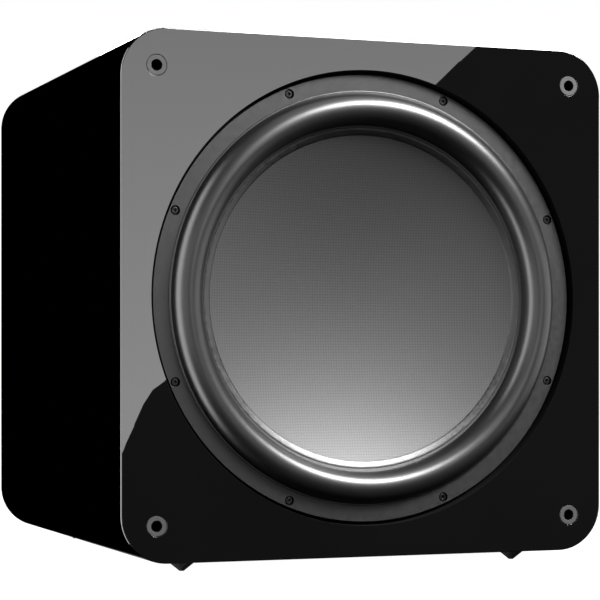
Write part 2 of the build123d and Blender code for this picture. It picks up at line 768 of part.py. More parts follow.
def make_cone():
    add("woven_dish", woven_dish())
    add("cone_ring", cone_ring())
    add("structural_cone", structural_cone())
    add("coil_former", coil_former())
    add("coil_winding", coil_winding())
    add("surround", surround())
    add("front_spider", wavy_disc(NECK_RADIUS, FRONT_SPIDER_RADIUS, FRONT_SPIDER_DEPTH))
    add("rear_spider", wavy_disc(NECK_RADIUS, REAR_SPIDER_RADIUS, REAR_SPIDER_DEPTH))
    add("tinsel_leads", *tinsel_leads())


# ---------------------------------------------------------------- amplifier


def plate_screw_places():
    """Screws round the edge of the amplifier plate."""
    x = (PLATE_WIDTH + OPENING_WIDTH) / 4
    z = (PLATE_HEIGHT + OPENING_HEIGHT) / 4
    sides = [(s * x, t * z) for s in (-1, 1) for t in (-1, -1 / 3, 1 / 3, 1)]
    return sides + [(0, -z), (0, z)]


def sink_screw_places():
    x = SINK_WIDTH / 2 + SINK_EAR / 2
    z = SINK_HEIGHT / 2 - SINK_EAR
    return [(sx, SINK_CENTRE + sz) for sx, sz in corner_places(x, z)]


def inlet_screw_places():
    return [(INLET_PLACE + s * INLET_SCREW_OFFSET, MAINS_ROW) for s in (-1, 1)]


def amp_plate():
    outline = RectangleRounded(PLATE_WIDTH, PLATE_HEIGHT, PLATE_ROUND)
    plate = board(outline, -PLATE_THICKNESS, 0)
    through = (-PLATE_THICKNESS - 1, 1)
    holes = [(PANEL_SCREW_RADIUS, x, z) for x, z in plate_screw_places()]
    holes += [(PANEL_SCREW_RADIUS, x, z) for x, z in sink_screw_places() + inlet_screw_places()]
    holes += [(BUSH_RADIUS, x, CONTROL_ROW) for x in KNOB_PLACES.values()]
    holes += [(PHONO_BODY, x, JACK_ROW) for x in PHONO_PLACES]
    holes.append((JACK_BODY, JACK_PLACE, JACK_ROW))
    holes.append((BUTTON_RADIUS + SHAFT_CLEARANCE, BUTTON_PLACE, CONTROL_ROW))
    holes.append((LENS_RADIUS, LENS_PLACE, CONTROL_ROW))
    for radius, x, z in holes:
        plate -= Pos(x, 0, z) * ring(0, radius, *through)
    plate -= block(*INLET_BODY, *through, x=INLET_PLACE, z=MAINS_ROW)
    plate -= block(*SWITCH_BODY, *through, x=ROCKER_PLACE, z=MAINS_ROW)
    slot = SLIDER_NUB + 2 * SLIDER_TRAVEL
    plate -= block(slot + 0.2, SLIDER_NUB, *through, x=SLIDER_PLACE, z=CONTROL_ROW)
    return on_panel(plate)


def panel_screws():
    """Pan-head screws of the plate, the heatsink and the mains inlet, each with a cross slot."""
    head_edge = 0.8
    screws = []
    places = [(x, z, 0.0) for x, z in plate_screw_places()]
    places += [(x, z, SINK_BASE) for x, z in sink_screw_places()]
    places += [(x, z, INLET_FLANGE) for x, z in inlet_screw_places()]
    for x, z, seat in places:
        screw = turned(
            (0, seat - PANEL_SCREW_LENGTH),
            (PANEL_SCREW_RADIUS, seat - PANEL_SCREW_LENGTH),
            (PANEL_SCREW_RADIUS, seat),
            (PANEL_SCREW_HEAD, seat),
            (PANEL_SCREW_HEAD, seat + head_edge),
            (PANEL_SCREW_HEAD / 2, seat + PANEL_SCREW_HEIGHT),
            (0, seat + PANEL_SCREW_HEIGHT),
        )
        for width, height in ((3.4, 0.9), (0.9, 3.4)):
            screw -= block(width, height, seat + head_edge, seat + PANEL_SCREW_HEIGHT + 1)
        screws.append(on_panel(screw, x, z))
    return screws


def heatsink():
    """Extruded heatsink with upright fins, and an ear down each side for its screws."""
    sink = block(SINK_WIDTH + 2 * SINK_EAR, SINK_HEIGHT, 0, SINK_BASE)
    pitch = (SINK_WIDTH - FIN_THICKNESS) / (FIN_COUNT - 1)
    for k in range(FIN_COUNT):
        x = (k - (FIN_COUNT - 1) / 2) * pitch
        sink += block(FIN_THICKNESS, SINK_HEIGHT, 0, SINK_PROUD, x=x)
    for x, z in sink_screw_places():
        sink -= Pos(x, 0, z - SINK_CENTRE) * ring(0, PANEL_SCREW_RADIUS, -1, SINK_BASE + 1)
    return on_panel(sink, 0, SINK_CENTRE)


def chassis_tray():
    """Folded steel tray behind the plate that keeps cabinet air off the boards."""
    front = -PLATE_THICKNESS - TRAY_DEPTH
    tray = block(TRAY_WIDTH, TRAY_HEIGHT, front, -PLATE_THICKNESS)
    inner = (TRAY_WIDTH - 2 * TRAY_WALL, TRAY_HEIGHT - 2 * TRAY_WALL)
    tray -= block(*inner, front + TRAY_WALL, -PLATE_THICKNESS + 1)
    return on_panel(tray)


def circuit_boards():
    boards = (
        ("signal_board", SIGNAL_BOARD_SIZE, SIGNAL_BOARD_OUT, SIGNAL_BOARD_CENTRE),
        ("power_board", POWER_BOARD_SIZE, POWER_BOARD_OUT, POWER_BOARD_CENTRE),
    )
    standoffs = []
    for name, size, out, middle in boards:
        add(name, on_panel(block(*size, out - BOARD_THICKNESS, out, z=middle)))
        for x, z in corner_places(STANDOFF_SPACING / 2, size[1] / 2 - STANDOFF_INSET):
            post = ring(0, STANDOFF_RADIUS, out, -PLATE_THICKNESS)
            standoffs.append(on_panel(post, x, middle + z))
    add("board_standoffs", *standoffs)


def capacitors():
    top = POWER_BOARD_OUT - BOARD_THICKNESS
    can = ring(0, CAN_RADIUS, top - CAN_LENGTH, top)
    can = fillet(can.edges().filter_by(GeomType.CIRCLE).sort_by(Axis.Y)[0], 1.5)
    return [on_panel(can, x, CAN_ROW) for x in CAN_PLACES]


def transformer():
    """Toroidal mains transformer on the tray's floor."""
    floor = -PLATE_THICKNESS - TRAY_DEPTH + TRAY_WALL
    coil = ring(TRANSFORMER_BORE, TRANSFORMER_RADIUS, floor, floor + TRANSFORMER_HEIGHT)
    coil = fillet(coil.edges().filter_by(GeomType.CIRCLE).group_by(Axis.Y)[-1], TRANSFORMER_ROUND)
    return on_panel(coil, *TRANSFORMER_PLACE)


def mains_inlet():
    """Panel inlet: a flange, a body behind it, and a socket with two bevelled corners."""
    inlet = block(INLET_WIDTH, INLET_HEIGHT, 0, INLET_FLANGE)
    inlet = fillet(inlet.edges().filter_by(Axis.Y), 5.0)
    inlet += block(*INLET_BODY, -INLET_LENGTH, 0)
    x = SOCKET_MOUTH_WIDTH / 2
    z = SOCKET_MOUTH_HEIGHT / 2
    bevel = SOCKET_MOUTH_BEVEL
    mouth = make_face(
        Polyline(
            (-x, -z),
            (x, -z),
            (x, z - bevel),
            (x - bevel, z),
            (bevel - x, z),
            (-x, z - bevel),
            close=True,
        )
    )
    inlet -= board(mouth, INLET_FLANGE - SOCKET_MOUTH_DEPTH, INLET_FLANGE + 1)
    for x, z in inlet_screw_places():
        inlet -= Pos(x - INLET_PLACE, 0, 0) * ring(0, PANEL_SCREW_RADIUS, -1, INLET_FLANGE + 1)
    for blade in blades():
        inlet -= blade
    return on_panel(inlet, INLET_PLACE, MAINS_ROW)


def blades():
    """Live, earth and neutral blades, from behind the inlet to just inside its mouth."""
    places = ((-7.0, -1.5), (0.0, 2.5), (7.0, -1.5))
    return [block(2.0, 4.0, -30.0, INLET_FLANGE - 3.0, x=x, z=z) for x, z in places]


def switch_frame():
    """Snap-in frame of the power switch, open in front and drilled for the rocker's pins."""
    frame = block(*SWITCH_BEZEL, 0, SWITCH_BEZEL_THICKNESS)
    frame = fillet(frame.edges().filter_by(Axis.Y), 2.0)
    frame += block(*SWITCH_BODY, -SWITCH_LENGTH, 0)
    frame -= block(2 * ROCKER_HALF_WIDTH + 0.6, 2 * ROCKER_HALF_HEIGHT + 2.8, -14.0, 3.0)
    pin_hole = Cylinder(ROCKER_PIN_RADIUS + SHAFT_CLEARANCE, 16.4, rotation=(0, 90, 0))
    frame -= Pos(0, ROCKER_PIVOT_OUT, 0) * pin_hole
    return on_panel(frame, ROCKER_PLACE, MAINS_ROW)


def power_rocker():
    """Rocker with a shallow vee face, tilted to its "on" stop, and a pin out of each side."""
    reach = ROCKER_HALF_HEIGHT
    outline = make_face(
        Polyline(
            (3.2, -reach),
            (1.6, 0),
            (3.2, reach),
            (-1.0, reach),
            (-7.0, 4.0),
            (-7.0, -4.0),
            (-1.0, -reach),
            close=True,
        )
    )
    paddle = extrude(Plane.YZ * outline, amount=ROCKER_HALF_WIDTH, both=True)
    paddle += Pos(0, ROCKER_PIVOT_OUT, 0) * Cylinder(ROCKER_PIN_RADIUS, 15.4, rotation=(0, 90, 0))
    pivot = Pos(0, ROCKER_PIVOT_OUT, 0)
    tilted = pivot * (Rot(ROCKER_TILT, 0, 0) * (pivot.inverse() * paddle))
    return on_panel(tilted, ROCKER_PLACE, MAINS_ROW)


def control_pots():
    """Potentiometers: a case on the signal board, and a bush through the plate."""
    pots = []
    for x in KNOB_PLACES.values():
        pot = block(POT_CASE, POT_CASE, SIGNAL_BOARD_OUT, -PLATE_THICKNESS - 2.0)
        pot += ring(0, BUSH_RADIUS, -PLATE_THICKNESS - 2.0, 1.0)
        pot -= ring(0, SHAFT_RADIUS + SHAFT_CLEARANCE, -12.0, 2.0)
        pots.append(on_panel(pot, x, CONTROL_ROW))
    return pots


def control_knob():
    """Knob with a coned skirt, finger flutes and a raised pointer."""
    grip = KNOB_RADIUS - 1.5
    knob = turned(
        (0, 7.0),
        (SHAFT_RADIUS, 7.0),
        (SHAFT_RADIUS, 1.6),
        (KNOB_RADIUS, 1.6),
        (KNOB_RADIUS, 3.0),
        (grip, 4.4),
        (grip - 0.6, KNOB_LENGTH - 0.8),
        (grip - 1.4, KNOB_LENGTH),
        (0, KNOB_LENGTH),
    )
    flute = ring(0, 1.1, 4.6, KNOB_LENGTH + 1)
    for one in spaced_round(flute, KNOB_FLUTES, grip + 0.3, 180 / KNOB_FLUTES):
        knob -= one
    knob -= block(1.2, grip - 2.0, KNOB_LENGTH - 0.6, KNOB_LENGTH + 1, z=grip / 2)
    return knob


def knobs_and_shafts():
    for name, x in KNOB_PLACES.items():
        add(f"{name}_knob", on_panel(control_knob(), x, CONTROL_ROW))
        add(f"{name}_shaft", on_panel(ring(0, SHAFT_RADIUS, -11.0, 7.0), x, CONTROL_ROW))


def phono_jacks():
    """Phono jacks: a plated shell, the moulded insert inside it, and a coloured washer at its foot."""
    shell = turned(
        (PHONO_BORE, -8.0),
        (PHONO_BODY, -8.0),
        (PHONO_BODY, WASHER_THICKNESS),
        (PHONO_RADIUS, WASHER_THICKNESS),
        (PHONO_RADIUS, PHONO_LENGTH + 0.8),
        (PHONO_RADIUS - 0.4, PHONO_LENGTH + 1.2),
        (PHONO_BORE, PHONO_LENGTH + 1.2),
    )
    insert = ring(PHONO_PIN_BORE, PHONO_BORE, SIGNAL_BOARD_OUT, 1.6)
    washer = ring(PHONO_BODY, WASHER_RADIUS, 0, WASHER_THICKNESS)
    add("phono_shells", *[on_panel(shell, x, JACK_ROW) for x in PHONO_PLACES])
    add("phono_inserts", *[on_panel(insert, x, JACK_ROW) for x in PHONO_PLACES])
    add("phono_washers", *[on_panel(washer, x, JACK_ROW) for x in PHONO_PLACES])


def trigger_jack():
    jack = turned(
        (0, -14.0),
        (JACK_BODY, -14.0),
        (JACK_BODY, 0),
        (JACK_RADIUS + 1.5, 0),
        (JACK_RADIUS + 1.5, 1.4),
        (JACK_RADIUS + 0.9, 2.0),
        (JACK_BORE, 2.0),
        (JACK_BORE, 2.0 - JACK_BORE_LENGTH),
        (0, 2.0 - JACK_BORE_LENGTH),
    )
    return on_panel(jack, JACK_PLACE, JACK_ROW)


def mode_slider():
    """Slide switch's nub, standing through the plate's slot from its runner behind."""
    nub = block(SLIDER_NUB, 4.0, -PLATE_THICKNESS - 0.3, 2.6)
    nub += block(18.0, 8.0, -PLATE_THICKNESS - 3.0, -PLATE_THICKNESS - 0.3)
    for k in (-1, 0, 1):
        nub -= block(0.6, 5.0, 2.1, 3.0, x=1.2 * k)
    return on_panel(nub, SLIDER_PLACE, CONTROL_ROW)


def setup_button():
    """Push-button with a collar behind the plate that stops it falling out."""
    button = turned(
        (0, -8.0),
        (BUTTON_RADIUS + 1.5, -8.0),
        (BUTTON_RADIUS + 1.5, -PLATE_THICKNESS - 0.2),
        (BUTTON_RADIUS, -PLATE_THICKNESS - 0.2),
        (BUTTON_RADIUS, 1.6),
        (BUTTON_RADIUS - 0.5, 2.2),
        (0, 2.2),
    )
    return on_panel(button, BUTTON_PLACE, CONTROL_ROW)


def status_lens():
    crown = 0.9
    lens = ring(0, LENS_RADIUS, -6.0, crown)
    lens = fillet(lens.edges().filter_by(GeomType.CIRCLE).sort_by(Axis.Y)[-1], crown * 0.9)
    return on_panel(lens, LENS_PLACE, CONTROL_ROW)


def make_amplifier():
    add("amp_plate", amp_plate())
    add("panel_screws", *panel_screws())
    add("heatsink", heatsink())
    add("chassis_tray", chassis_tray())
    circuit_boards()
    add("capacitors", *capacitors())
    add("transformer", transformer())
    add("mains_inlet", mains_inlet())
    add("mains_blades", *[on_panel(b, INLET_PLACE, MAINS_ROW) for b in blades()])
    add("switch_frame", switch_frame())
    add("power_rocker", power_rocker())
    add("control_pots", *control_pots())
    knobs_and_shafts()
    phono_jacks()
    add("trigger_jack", trigger_jack())
    add("mode_slider", mode_slider())
    add("setup_button", setup_button())
    add("status_lens", status_lens())


def write_parts():
    os.makedirs("parts", exist_ok=True)
    for name, solids in parts.items():
        shape = solids[0] if len(solids) == 1 else Compound(children=solids)
        export_step(shape, f"parts/{name}.step")
    print(len(parts), "nodes written")


make_cabinet()
make_driver()
make_cone()
make_amplifier()
write_parts()
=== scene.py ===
import json
import math

import bmesh
import bpy
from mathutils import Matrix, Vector


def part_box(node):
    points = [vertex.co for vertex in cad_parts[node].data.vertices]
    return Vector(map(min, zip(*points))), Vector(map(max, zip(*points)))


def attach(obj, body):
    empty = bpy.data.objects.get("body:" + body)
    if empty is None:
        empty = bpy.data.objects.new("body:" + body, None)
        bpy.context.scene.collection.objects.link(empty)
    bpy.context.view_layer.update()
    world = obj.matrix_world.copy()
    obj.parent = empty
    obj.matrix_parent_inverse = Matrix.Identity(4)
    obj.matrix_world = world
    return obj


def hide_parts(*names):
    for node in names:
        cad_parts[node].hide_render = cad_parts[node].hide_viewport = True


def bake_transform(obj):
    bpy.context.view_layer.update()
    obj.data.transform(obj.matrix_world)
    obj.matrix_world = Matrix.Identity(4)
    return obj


# A sealed, powered subwoofer in gloss black, seen from its left front. Metres. The frame's +Z is up and
# the driver faces -Y. "Depth" is measured into the cabinet from its front face, "out" from its rear face.

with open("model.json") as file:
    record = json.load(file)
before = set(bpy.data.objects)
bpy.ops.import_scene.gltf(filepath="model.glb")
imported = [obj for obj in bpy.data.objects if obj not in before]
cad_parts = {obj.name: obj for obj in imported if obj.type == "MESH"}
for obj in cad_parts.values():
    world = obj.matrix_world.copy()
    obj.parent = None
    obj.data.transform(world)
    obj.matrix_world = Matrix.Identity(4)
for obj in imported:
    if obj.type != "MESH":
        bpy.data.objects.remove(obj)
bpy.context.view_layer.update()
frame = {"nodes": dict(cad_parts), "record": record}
MM = 0.001

# ---------------------------------------------------------------- places read from the frame

BAFFLE_LOW, BAFFLE_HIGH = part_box("outer_baffle")
FRONT = BAFFLE_LOW.y
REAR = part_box("rear_panel")[1].y
MIDDLE = (BAFFLE_LOW.z + BAFFLE_HIGH.z) / 2
WIDTH = BAFFLE_HIGH.x - BAFFLE_LOW.x
HEIGHT = BAFFLE_HIGH.z - BAFFLE_LOW.z
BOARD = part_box("left_panel")[1].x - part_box("left_panel")[0].x
CORNER = (HEIGHT - (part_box("left_panel")[1].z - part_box("left_panel")[0].z)) / 2
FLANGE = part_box("driver_basket")[1].x
FLANGE_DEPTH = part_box("driver_basket")[0].y - FRONT
RING_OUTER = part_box("cone_ring")[1].x
RING_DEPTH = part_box("cone_ring")[0].y - FRONT
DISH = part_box("woven_dish")[1].x
DISH_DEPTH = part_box("woven_dish")[0].y - FRONT
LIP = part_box("surround")[1].x
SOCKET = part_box("grille_sockets")[1].x
FOOT_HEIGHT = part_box("bottom_panel")[0].z
PLATE_LOW, PLATE_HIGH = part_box("amp_plate")


# ---------------------------------------------------------------- camera, light and floor

CAMERA_FROM_FACE = Vector((-0.79075, -1.9238, -0.06185))
CAMERA_TURN = 0.364
CAMERA_LENS = 128.4
CAMERA_SHIFT = (-0.0247, 0.1028)


def place_camera():
    data = bpy.data.cameras.new("camera")
    data.lens = CAMERA_LENS
    data.sensor_width = 36.0
    data.shift_x, data.shift_y = CAMERA_SHIFT
    data.clip_end = 50.0
    camera = bpy.data.objects.new("camera", data)
    camera.location = Vector((0, FRONT, MIDDLE)) + CAMERA_FROM_FACE
    camera.rotation_euler = (math.pi / 2, 0, -CAMERA_TURN)
    bpy.context.scene.collection.objects.link(camera)
    bpy.context.scene.camera = camera
    return camera.location.copy()


def white_surround():
    """Pure white behind the object; for what shines in it, a dark room with a white wall far behind it."""
    world = bpy.data.worlds.new("studio")
    bpy.context.scene.world = world
    world.use_nodes = True
    nodes, links = world.node_tree.nodes, world.node_tree.links
    nodes.clear()
    facing = nodes.new("ShaderNodeTexCoord")
    parts = nodes.new("ShaderNodeSeparateXYZ")
    links.new(facing.outputs["Generated"], parts.inputs[0])

    def level(part, start, end, low, high):
        node = nodes.new("ShaderNodeMapRange")
        node.inputs["From Min"].default_value = start
        node.inputs["From Max"].default_value = end
        node.inputs["To Min"].default_value = low
        node.inputs["To Max"].default_value = high
        links.new(parts.outputs[part], node.inputs["Value"])
        return node.outputs[0]

    def joined(kind, a, b):
        node = nodes.new("ShaderNodeMath")
        node.operation = kind
        links.new(a, node.inputs[0])
        links.new(b, node.inputs[1])
        return node.outputs[0]

    behind = joined("MULTIPLY", level("Y", 0.72, 0.84, 0.0, 1.0), level("X", 0.20, 0.26, 0.0, 1.0))
    fading = joined("MULTIPLY", behind, level("X", 0.32, 0.36, 1.0, 0.5))
    wall = joined("MULTIPLY", fading, level("Z", -0.02, 0.02, 0.22, 1.0))
    room = nodes.new("ShaderNodeBackground")
    links.new(joined("ADD", wall, level("Y", 0.0, -0.6, 0.0, 0.065)), room.inputs["Strength"])
    seen = nodes.new("ShaderNodeBackground")
    seen.inputs["Color"].default_value = (1, 1, 1, 1)
    seen.inputs["Strength"].default_value = 1.0
    path = nodes.new("ShaderNodeLightPath")
    mix = nodes.new("ShaderNodeMixShader")
    links.new(path.outputs["Is Camera Ray"], mix.inputs[0])
    links.new(room.outputs[0], mix.inputs[1])
    links.new(seen.outputs[0], mix.inputs[2])
    output = nodes.new("ShaderNodeOutputWorld")
    links.new(mix.outputs[0], output.inputs[0])
    scene = bpy.context.scene
    scene.view_settings.view_transform = "Standard"
    scene.view_settings.look = "None"


def glowing(name, low, high, bottom=0.0, top=1.0):
    """A light's glow, from its low strength at one height to its high strength at another."""
    material = bpy.data.materials.new(name)
    material.use_nodes = True
    nodes, links = material.node_tree.nodes, material.node_tree.links
    nodes.clear()
    place = nodes.new("ShaderNodeTexCoord")
    parts = nodes.new("ShaderNodeSeparateXYZ")
    links.new(place.outputs["Object"], parts.inputs[0])
    level = nodes.new("ShaderNodeMapRange")
    level.inputs["From Min"].default_value = bottom
    level.inputs["From Max"].default_value = top
    level.inputs["To Min"].default_value = low
    level.inputs["To Max"].default_value = high
    links.new(parts.outputs["Z"], level.inputs["Value"])
    glow = nodes.new("ShaderNodeEmission")
    links.new(level.outputs[0], glow.inputs["Strength"])
    output = nodes.new("ShaderNodeOutputMaterial")
    links.new(glow.outputs[0], output.inputs[0])
    return material


def flat_card(name, corners, material):
    """A flat card through the given points, in order, that only shiny surfaces see."""
    mesh = bpy.data.meshes.new(name)
    mesh.from_pydata([tuple(c) for c in corners], [], [list(range(len(corners)))])
    card = bpy.data.objects.new(name, mesh)
    bpy.context.scene.collection.objects.link(card)
    card.data.materials.append(material)
    card.visible_camera = False
    card.visible_diffuse = False
    card.visible_shadow = False
    return card


def soft_light(name, place, target, size, power, glossy=True):
    data = bpy.data.lights.new(name, "AREA")
    data.shape = "RECTANGLE"
    data.size, data.size_y = size
    data.energy = power
    light = bpy.data.objects.new(name, data)
    light.location = place
    light.rotation_euler = (Vector(target) - Vector(place)).to_track_quat("-Z", "Y").to_euler()
    light.visible_glossy = glossy
    light.visible_camera = False
    bpy.context.scene.collection.objects.link(light)
    return light


# Where the reflected softbox ends on the baffle: across and up from the face's centre.
SOFTBOX_EDGE = (
    (0.116, 0.256),
    (0.067, 0.208),
    (-0.208, -0.080),
    (-0.220, -0.088),
    (-0.230, -0.102),
    (-0.238, -0.118),
    (-0.249, -0.138),
    (-0.252, -0.145),
)
SOFTBOX_DISTANCE = 2.6


def mirrored(eye, across, up):
    """Where the eye's ray, turned back by the baffle at that place, reaches the softbox's plane."""
    on_face = Vector((across, FRONT, MIDDLE + up))
    ray = on_face - eye
    reach = SOFTBOX_DISTANCE / ray.y
    return on_face + Vector((ray.x, -ray.y, ray.z)) * reach


def hang_softbox(eye):
    """The big grey softbox in front, on the right, that the upper left of the baffle mirrors."""
    corners = [mirrored(eye, across, up) for across, up in SOFTBOX_EDGE]
    corners.append(mirrored(eye, -0.42, -0.42))
    corners.append(mirrored(eye, -0.42, 0.30))
    corners.append(mirrored(eye, 0.154, 0.30))
    bottom = mirrored(eye, 0, -0.10).z
    top = mirrored(eye, 0, 0.25).z
    flat_card("softbox", corners, glowing("softbox_glow", 3.1, 2.25, bottom, top))


def hang_wall_light(name, near, far, low, high, strength):
    """Upright card between two places, each given across and out from the baffle's centre."""
    corners = []
    for (x, out), z in ((near, low), (far, low), (far, high), (near, high)):
        corners.append((x, FRONT - out, MIDDLE + z))
    flat_card(name, corners, glowing(f"{name}_glow", strength, strength))


def hang_overhead():
    """Light above the cabinet, that the round of the baffle's top edge mirrors."""
    height = MIDDLE + 1.9
    near, far = FRONT - 1.3, FRONT + 0.9
    corners = [(-0.5, near, height), (1.6, near, height), (1.6, far, height), (-0.5, far, height)]
    flat_card("overhead", corners, glowing("overhead_glow", 1.6, 1.6))


def lay_floor():
    """White floor, as white as the background."""
    mesh = bpy.data.meshes.new("floor")
    reach = 14.0
    corners = [(-reach, -reach, 0), (reach, -reach, 0), (reach, reach, 0), (-reach, reach, 0)]
    mesh.from_pydata(corners, [], [(0, 1, 2, 3)])
    floor = bpy.data.objects.new("floor", mesh)
    bpy.context.scene.collection.objects.link(floor)
    material = bpy.data.materials.new("floor_white")
    material.use_nodes = True
    shader = material.node_tree.nodes["Principled BSDF"]
    shader.inputs["Base Color"].default_value = (0.02, 0.02, 0.02, 1)
    shader.inputs["Roughness"].default_value = 0.9
    shader.inputs["Emission Color"].default_value = (1, 1, 1, 1)
    shader.inputs["Emission Strength"].default_value = 1.0
    floor.data.materials.append(material)
    floor.visible_glossy = False
    floor.visible_diffuse = False


def light_studio(eye):
    white_surround()
    hang_softbox(eye)
    hang_wall_light("left_strip", (-1.75, 0.95), (-1.7, -0.45), -1.9, 1.9, 8.5)
    hang_wall_light("left_wall", (-0.5, 2.6), (-1.75, 0.95), -0.6, 0.8, 2.0)
    hang_wall_light("right_wall", (1.75, 2.0), (2.2, -0.4), -0.6, 0.45, 2.2)
    hang_overhead()
    lay_floor()
    soft_light("key", (1.10, FRONT - 1.43, MIDDLE + 1.57), (0, FRONT, MIDDLE), (1.5, 0.75), 290)
    soft_light("rear_fill", (1.2, 2.6, 1.6), (0, REAR, MIDDLE), (1.6, 1.6), 130)


# ---------------------------------------------------------------- materials

materials = {}


class Surface:
    """A Principled material, with the few procedural nodes that the finishes below are made from."""

    def __init__(self, name, roughness=0.5, **sockets):
        self.material = bpy.data.materials.new(name)
        self.material.use_nodes = True
        self.nodes = self.material.node_tree.nodes
        self.links = self.material.node_tree.links
        self.shader = self.nodes["Principled BSDF"]
        self.shader.inputs["Roughness"].default_value = roughness
        for key, value in sockets.items():
            self.shader.inputs[key.replace("_", " ")].default_value = value
        self.place = self.nodes.new("ShaderNodeTexCoord").outputs["Object"]
        self.height = None
        materials[name] = self.material

    def feed(self, socket, value):
        if isinstance(value, (int, float)):
            socket.default_value = value
        else:
            self.links.new(value, socket)

    def stretched(self, x, y, z):
        node = self.nodes.new("ShaderNodeMapping")
        node.inputs["Scale"].default_value = (x, y, z)
        self.links.new(self.place, node.inputs["Vector"])
        return node.outputs[0]

    def noise(self, scale, detail=4.0, where=None, rough=0.5):
        node = self.nodes.new("ShaderNodeTexNoise")
        node.inputs["Scale"].default_value = scale
        node.inputs["Detail"].default_value = detail
        node.inputs["Roughness"].default_value = rough
        self.links.new(where or self.place, node.inputs["Vector"])
        return node.outputs["Fac"]

    def cells(self, scale, where=None):
        node = self.nodes.new("ShaderNodeTexVoronoi")
        node.inputs["Scale"].default_value = scale
        self.links.new(where or self.place, node.inputs["Vector"])
        return node.outputs["Distance"]

    def maths(self, kind, a, b=0.0):
        node = self.nodes.new("ShaderNodeMath")
        node.operation = kind
        self.feed(node.inputs[0], a)
        self.feed(node.inputs[1], b)
        return node.outputs[0]

    def between(self, value, low, high, start=0.3, end=0.7):
        node = self.nodes.new("ShaderNodeMapRange")
        node.inputs["From Min"].default_value = start
        node.inputs["From Max"].default_value = end
        node.inputs["To Min"].default_value = low
        node.inputs["To Max"].default_value = high
        self.links.new(value, node.inputs["Value"])
        return node.outputs[0]

    def colour(self, value, low, high, start=0.3, end=0.7):
        node = self.nodes.new("ShaderNodeValToRGB")
        node.color_ramp.elements[0].position = start
        node.color_ramp.elements[1].position = end
        node.color_ramp.elements[0].color = (*low, 1)
        node.color_ramp.elements[1].color = (*high, 1)
        self.links.new(value, node.inputs[0])
        self.links.new(node.outputs[0], self.shader.inputs["Base Color"])
        return node.outputs[0]

    def rough(self, value, low, high, start=0.3, end=0.7):
        self.links.new(self.between(value, low, high, start, end), self.shader.inputs["Roughness"])

    def bump(self, value, distance, strength=1.0):
        """Adds relief of that many metres, on top of any that is there already."""
        node = self.nodes.new("ShaderNodeBump")
        node.inputs["Distance"].default_value = distance
        node.inputs["Strength"].default_value = strength
        self.links.new(value, node.inputs["Height"])
        if self.height:
            self.links.new(self.height, node.inputs["Normal"])
        self.height = node.outputs[0]
        self.links.new(self.height, self.shader.inputs["Normal"])


def grey(level):
    return (level, level, level)


def lacquer():
    s = Surface("gloss_lacquer", Coat_Weight=1.0, Coat_Roughness=0.004)
    s.colour(s.noise(3.0), grey(0.0006), grey(0.0014))
    s.rough(s.noise(40.0), 0.004, 0.012)
    s.bump(s.noise(14.0, detail=1.0), 0.000004, 0.4)


def painted(name, level, roughness, grain, depth, shine=0.5):
    """Even factory coat with a fine grain: paint, powder or moulded texture."""
    s = Surface(name, Specular_IOR_Level=shine)
    s.colour(s.noise(30.0), grey(level * 0.8), grey(level * 1.2))
    s.rough(s.noise(180.0), roughness - 0.05, roughness + 0.06)
    s.bump(s.noise(grain, detail=2.0), depth)
    return s


def moulded(name, colour, roughness, grain=2600.0, depth=0.00002, shine=0.5):
    s = Surface(name, Specular_IOR_Level=shine)
    s.colour(s.noise(60.0), [c * 0.85 for c in colour], [c * 1.15 for c in colour])
    s.rough(s.noise(400.0), roughness - 0.06, roughness + 0.06)
    s.bump(s.noise(grain, detail=2.0), depth)
    return s


def rubber(name, level, roughness, spread=0.04):
    s = Surface(name)
    s.colour(s.noise(25.0), grey(level * 0.8), grey(level * 1.25))
    s.rough(s.noise(160.0), roughness - spread, roughness + spread)
    s.bump(s.noise(3000.0, detail=2.0), 0.000003)
    return s


def metal(name, colour, roughness, grain=900.0, depth=0.000006):
    s = Surface(name, Metallic=1.0)
    s.colour(s.noise(70.0), [c * 0.86 for c in colour], colour)
    s.rough(s.noise(260.0), roughness - 0.08, roughness + 0.08)
    s.bump(s.noise(grain), depth)
    return s


def brushed(name, colour, roughness, metallic):
    """Anodised sheet brushed from side to side."""
    s = Surface(name, Metallic=metallic)
    lines = s.noise(900.0, where=s.stretched(0.02, 1.0, 1.0))
    s.colour(lines, [c * 0.75 for c in colour], [c * 1.25 for c in colour])
    s.rough(lines, roughness - 0.08, roughness + 0.1)
    s.bump(lines, 0.000012)
    return s


def fibre_board():
    s = Surface("raw_board", 0.8)
    s.colour(s.noise(260.0, 6.0), (0.20, 0.12, 0.06), (0.36, 0.24, 0.14))
    s.bump(s.noise(900.0), 0.00008)


def felted():
    s = Surface("felt", 0.95, Sheen_Weight=0.4)
    s.colour(s.noise(700.0, 6.0, rough=0.7), grey(0.05), grey(0.16))
    s.bump(s.noise(500.0, 6.0), 0.0004)


WEAVE_PITCH = 0.0027
TOW_FLATNESS = 0.35


